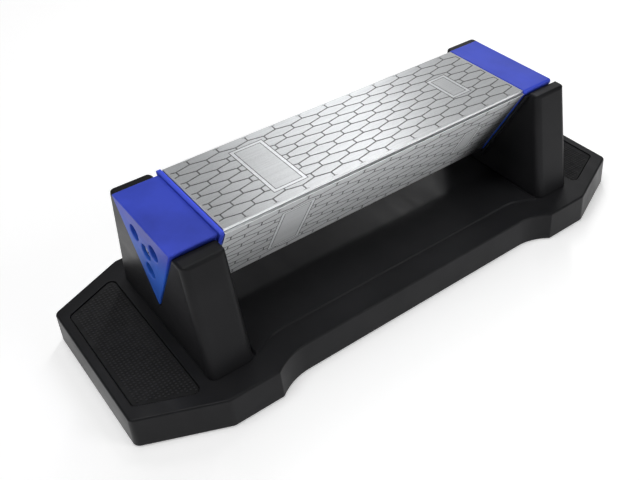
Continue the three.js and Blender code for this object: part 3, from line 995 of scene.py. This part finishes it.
def nut(node, outward):
    """A chamfered hexagon nut."""
    low, high = span(node)
    middle, half = (low + high) / 2, (high - low) / 2
    length, corners = 2 * half.x, half.y
    bm = bmesh.new()

    def round_ring(radius, level):
        return ring(bm, circle(radius, steps=FASTENER_SIDES), level)

    rings = [
        round_ring(NUT_BORE, 0.0),
        round_ring(corners * 0.85, 0.0),
        ring(bm, hexagon(corners), length * 0.12),
        ring(bm, hexagon(corners), length * 0.84),
        round_ring(corners * 0.85, length),
        round_ring(NUT_BORE + 0.15, length),
        round_ring(NUT_BORE, length - 0.2),
    ]
    skin(bm, [*rings, rings[0]])
    aimed(bm, middle - outward * half.x, outward)
    return bm


def steel_piece(bm, name, body, node):
    finished(bm, name, body, [fastener_steel], [node])


for node in CRADLE_SCREWS:
    steel_piece(screw(node, Vector((0, 0, -1)), *CRADLE_SCREW), f"pan_{node}", "base", node)

for name, side in SIDES:
    outward = Vector((side, 0, 0))
    for number in (1, 2, 3):
        node = f"cap_screw_{name}_{number}"
        steel_piece(screw(node, outward, *CAP_SCREW), f"pan_{node}", "block", node)
    steel_piece(nut(f"tie_nut_{name}", outward), f"hex_nut_{name}", "tie_rod", f"tie_nut_{name}")


def threaded_rod():
    """The tie rod, with a stepped-down threaded end at each side."""
    left, right = rod_low.x, rod_high.x
    thread, length, chamfer = ROD_THREAD_RADIUS, ROD_THREAD_LENGTH, ROD_CHAMFER

    def thread_turns(start):
        turns = []
        level = start
        while level < start + length - 0.6:
            turns += [(thread, level + 0.1), (thread - 0.2, level + 0.3)]
            level += ROD_THREAD_PITCH
        return turns

    profile = [
        (0.2, left), (thread - chamfer, left), (thread, left + chamfer),
        *thread_turns(left + chamfer),
        (thread, left + length), (rod_high.y, left + length),
        (rod_high.y, right - length), (thread, right - length),
        *thread_turns(right - length + 0.1),
        (thread, right - chamfer), (thread - chamfer, right), (0.2, right),
    ]
    bm = bmesh.new()
    rings = turned(bm, profile, place=lambda x, y, z: (z, x, y + AXIS_Z), steps=FASTENER_SIDES)
    fill(bm, rings[0])
    fill(bm, rings[-1])
    return bm


steel_piece(threaded_rod(), "threaded_rod", "tie_rod", "tie_rod")


# ---------------------------------------------------------------- sharpening block


def end_cap(name, side, end_x):
    """A blue end cap, from the face with its four counterbores to the pocket that takes the core."""
    bm = bmesh.new()
    collar = plate_high.x + GAP
    shoulder = collar + COLLAR_LENGTH

    def section(face, corner, x):
        return ring(bm, rounded(three_corners(face, max(corner, LEAST_RADIUS)), 6), x, lengthwise)

    rings = []
    face, corner = CAP_FACE[name], CAP_CORNER[name]
    for distance, rise in reversed(rounding(CAP_END_EDGE, 4)):
        rings.append(section(face - distance, corner - distance, end_x - CAP_END_EDGE + rise))
    if face < PLATE_FACE:
        for further, rounder, beyond in COLLAR_FILLET:
            rings.append(section(face + further, corner + rounder, shoulder + beyond))
        face, corner = PLATE_FACE, COLLAR_CORNER
        for distance, rise in reversed(rounding(COLLAR_EDGE, 4)):
            rings.append(section(face - distance, corner - distance, shoulder - COLLAR_EDGE + rise))
    edge = CAP_INNER_EDGE[name]
    for distance, rise in rounding(edge, 3):
        rings.append(section(face - distance, corner - distance, collar + edge - rise))
    pocket_end = end_x - CAP_END_WALL
    for x in (collar, pocket_end):
        rings.append(section(SPIGOT_FACE + GAP, SPIGOT_CORNER, x))
    skin(bm, rings)

    spots = [(0.0, AXIS_Z, ROD_BORE)]
    for a in THIRDS:
        y, z = CAP_SCREW_CIRCLE * math.cos(a), AXIS_Z + CAP_SCREW_CIRCLE * math.sin(a)
        spots.append((y, z, CAP_SCREW_BORE))
    lip = [(COUNTERBORE + wider, end_x - deeper) for wider, deeper in COUNTERBORE_LIP]
    seat = end_x - COUNTERBORE_DEPTH
    mouths, ends = [], []
    for y, z, radius in spots:
        profile = [*lip, (COUNTERBORE, seat), (radius, seat), (radius, pocket_end)]
        bore = [ring(bm, circle(r, y, z, steps=28), x, lengthwise) for r, x in profile]
        skin(bm, bore)
        mouths.append(bore[0])
        ends.append(bore[-1])
    fill(bm, rings[0], *mouths)
    fill(bm, rings[-1], *ends)
    return at_end(bm, side)


for name, side in SIDES:
    low, high = span(f"end_cap_{name}")
    end_x = high.x if side > 0 else -low.x
    finished(
        end_cap(name, side, end_x), f"cap_moulding_{name}", "block", [cap_plastic],
        [f"end_cap_{name}"],
    )


PLATE_LOOKS = [plate_surface, plate_groove, plate_edge, plate_frame]
SURFACE, GROOVE, EDGE, FRAME = range(len(PLATE_LOOKS))


def cell_patterns():
    """The engraved face as patterns: a grooved field, its cells, and the two blank label frames."""
    half_x = plate_high.x - PLATE_RIM - FIELD_MARGIN
    half_y = plate_high.y - PLATE_RIM - FIELD_MARGIN
    field = (-half_x, half_x, -half_y, half_y)
    groove = (-GROOVE_DEPTH, GROOVE)
    patterns = [(rectangle(*field), *groove)]
    tip, shoulder = CELL_PITCH * 2 / 3, CELL_PITCH / 3
    for row in CELL_ROWS:
        shift = CELL_LENGTH / 2 if row % 2 else 0.0
        for column in CELL_COLUMNS:
            x = column * CELL_LENGTH + shift + CELL_OFFSET
            y = row * CELL_PITCH
            cell = [
                (x + CELL_LENGTH / 2, y - shoulder, 0), (x + CELL_LENGTH / 2, y + shoulder, 0),
                (x, y + tip, 0), (x - CELL_LENGTH / 2, y + shoulder, 0),
                (x - CELL_LENGTH / 2, y - shoulder, 0), (x, y - tip, 0),
            ]
            island = [Vector(p[:2]) for p in inset(cell, GROOVE_WIDTH / 2)]
            island = clipped(island, *field)
            if len(island) > 2:
                patterns.append((island, 0.0, SURFACE))
    for centre, half_length, half_width in (LARGE_PANEL, SMALL_PANEL):
        for step_in, step, material in (
            (0.0, *groove),
            (PANEL_LINE, 0.0, FRAME),
            (PANEL_LINE + PANEL_FRAME, *groove),
            (PANEL_LINE + PANEL_FRAME + PANEL_HAIRLINE, 0.0, SURFACE),
        ):
            x, y = half_length - step_in, half_width - step_in
            patterns.append((rectangle(centre - x, centre + x, -y, y), step, material))
    return patterns


def diamond_plate(degrees):
    """One engraved plate, turned about the block's axis to its own side."""
    bm = bmesh.new()
    x, y = plate_high.x, plate_high.y
    rim = PLATE_RIM
    top = stepped_face(bm, rectangle(rim - x, x - rim, rim - y, y - rim), cell_patterns(), 0.0)
    rings = [top]
    rounded_rim = [(distance, rise - rim) for distance, rise in reversed(rounding(rim, 5))][1:]
    chamfer = [(0.0, PLATE_BURR - PLATE_THICKNESS), (PLATE_BURR, -PLATE_THICKNESS)]
    for d, level in rounded_rim + chamfer:
        rings.append(ring(bm, rectangle(d - x, x - d, d - y, y - d), level))
    skin(bm, rings, material=EDGE)
    bm.faces.new(rings[-1]).material_index = EDGE
    grain = bm.loops.layers.uv.new("grain")     # gives the brushed metal its direction
    for face in bm.faces:
        for loop in face.loops:
            loop[grain].uv = (loop.vert.co.y * MM, -loop.vert.co.x * MM)
    stand = Matrix.Translation((0, 0, PLATE_FACE))
    turn = Matrix.Rotation(math.radians(degrees), 4, "X")
    bmesh.ops.transform(bm, matrix=Matrix.Translation((0, 0, AXIS_Z)) @ turn @ stand, verts=bm.verts)
    return bm


for name, degrees in (("coarse", 0), ("medium", 120), ("fine", 240)):
    finished(
        diamond_plate(degrees), f"engraved_plate_{name}", "block", PLATE_LOOKS,
        [f"plate_{name}"], sharp=20.0,
    )

# the core is nearly hidden, so its CAD node stays and gets a better material
core = frame["nodes"]["stone_core"]
core.data.materials.clear()
core.data.materials.append(core_plastic)


# ---------------------------------------------------------------- camera, floor and light

CAMERA_TURN = (-37.83, 38.71, -1.22)    # azimuth, elevation and roll, in degrees
CAMERA_PLACE = (-0.17127, -0.24364, 0.25848)    # in metres
CAMERA_CLIP = (0.01, 20.0)      # in metres
SENSOR_WIDTH = 36.0             # in millimetres, as is the lens
LENS = 47.05
LENS_SHIFT = (-0.1078, -0.0355)    # in image widths
FLOOR_HALF = 20.0               # in metres
FLOOR_GLOW = (0.4, 0.95)        # next to the object, and far from it
FLOOR_GLOW_REACH = (0.7, 2.0)    # in metres, where it starts and stops growing
SOFTBOXES = {                   # direction, distance and size in metres, power in watts
    "overhead": ((-0.25, 0.0, 1.0), 1.2, (0.6, 0.9), 7.0),
    "strip": ((0.42, 0.45, 0.78), 1.0, (0.04, 0.5), 1.7),
    "back": ((0.75, 0.6, 0.6), 1.2, (0.5, 0.4), 1.0),
    "window": ((0.08, 0.6, 0.79), 1.2, (0.25, 0.25), 0.8),
    "key": ((0.45, -0.75, 0.48), 1.0, (0.35, 0.5), 2.0),
}


def add_camera():
    """The camera at the photograph's viewing angle."""
    azimuth, elevation, roll = (math.radians(a) for a in CAMERA_TURN)
    back = Vector((
        math.sin(azimuth) * math.cos(elevation),
        -math.cos(azimuth) * math.cos(elevation),
        math.sin(elevation),
    ))
    level = Vector((0, 0, 1)).cross(back).normalized()
    above = back.cross(level)
    right = level * math.cos(roll) + above * math.sin(roll)
    up = above * math.cos(roll) - level * math.sin(roll)
    data = bpy.data.cameras.new("camera")
    data.sensor_width = SENSOR_WIDTH
    data.lens = LENS
    data.shift_x, data.shift_y = LENS_SHIFT
    data.clip_start, data.clip_end = CAMERA_CLIP
    camera = bpy.data.objects.new("camera", data)
    bpy.context.scene.collection.objects.link(camera)
    turn = Matrix((right, up, back)).transposed().to_4x4()
    camera.matrix_world = Matrix.Translation(CAMERA_PLACE) @ turn
    bpy.context.scene.camera = camera


def add_floor():
    """A pale floor that glows a little, more so far from the object, where the lights don't reach."""
    bm = bmesh.new()
    bm.faces.new(ring(bm, rectangle(-FLOOR_HALF, FLOOR_HALF, -FLOOR_HALF, FLOOR_HALF), 0.0))
    floor = as_object(bm, "floor")
    look = Look("floor", 0.6)
    cloud = look.mapped(look.noise(3.0), 0.3, 0.7, 0.0, 1.0)
    look.use("Base Color", look.mixed(cloud, (0.86, 0.86, 0.86), (0.9, 0.9, 0.9)))
    look.shader.inputs["Emission Color"].default_value = (1, 1, 1, 1)
    look.use("Emission Strength", look.mapped(look.distance(), *FLOOR_GLOW_REACH, *FLOOR_GLOW))
    floor.data.materials.append(look.material)
    floor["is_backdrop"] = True


def add_softbox(name, direction, distance, size, power):
    """A rectangular area light at a distance in a direction, facing the block."""
    data = bpy.data.lights.new(name, "AREA")
    data.shape = "RECTANGLE"
    data.size, data.size_y = size
    data.energy = power
    light = bpy.data.objects.new(name, data)
    bpy.context.scene.collection.objects.link(light)
    towards = Vector(direction).normalized()
    light.location = towards * distance + Vector((0, 0, AXIS_Z * MM))
    light.rotation_mode = "QUATERNION"
    light.rotation_quaternion = towards.to_track_quat("Z", "Y")


def add_world():
    """A dim room, brighter behind and overhead, with a pale glow round the horizon.

    The camera sees plain white instead of it.
    """
    world = bpy.data.worlds.new("world")
    bpy.context.scene.world = world
    world.use_nodes = True
    nodes, links = world.node_tree.nodes, world.node_tree.links
    split = nodes.new("ShaderNodeSeparateXYZ")
    links.new(nodes.new("ShaderNodeTexCoord").outputs["Generated"], split.inputs[0])

    def gradient(axis, low, high, first, last):
        return map_range(world.node_tree, split.outputs[axis], low, high, first, last, "SMOOTHSTEP")

    def combine(operation, first, second):
        node = nodes.new("ShaderNodeMath")
        node.operation = operation
        links.new(first, node.inputs[0])
        links.new(second, node.inputs[1])
        return node.outputs[0]

    behind, overhead = gradient("Y", -0.3, 0.6, 0.015, 0.0475), gradient("Z", 0.55, 0.95, 1.0, 1.7)
    horizon = gradient("Z", 0.12, 0.35, 0.35, 0.0)
    light = combine("ADD", combine("MULTIPLY", behind, overhead), horizon)
    seen = nodes.new("ShaderNodeLightPath").outputs["Is Camera Ray"]
    background = nodes["Background"]
    background.inputs["Color"].default_value = (1, 1, 1, 1)
    links.new(combine("MAXIMUM", light, seen), background.inputs["Strength"])


add_camera()
add_floor()
add_world()
for name, (direction, distance, size, power) in SOFTBOXES.items():
    add_softbox(name, direction, distance, size, power)
bpy.context.scene.view_settings.view_transform = "Standard"

low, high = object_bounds()
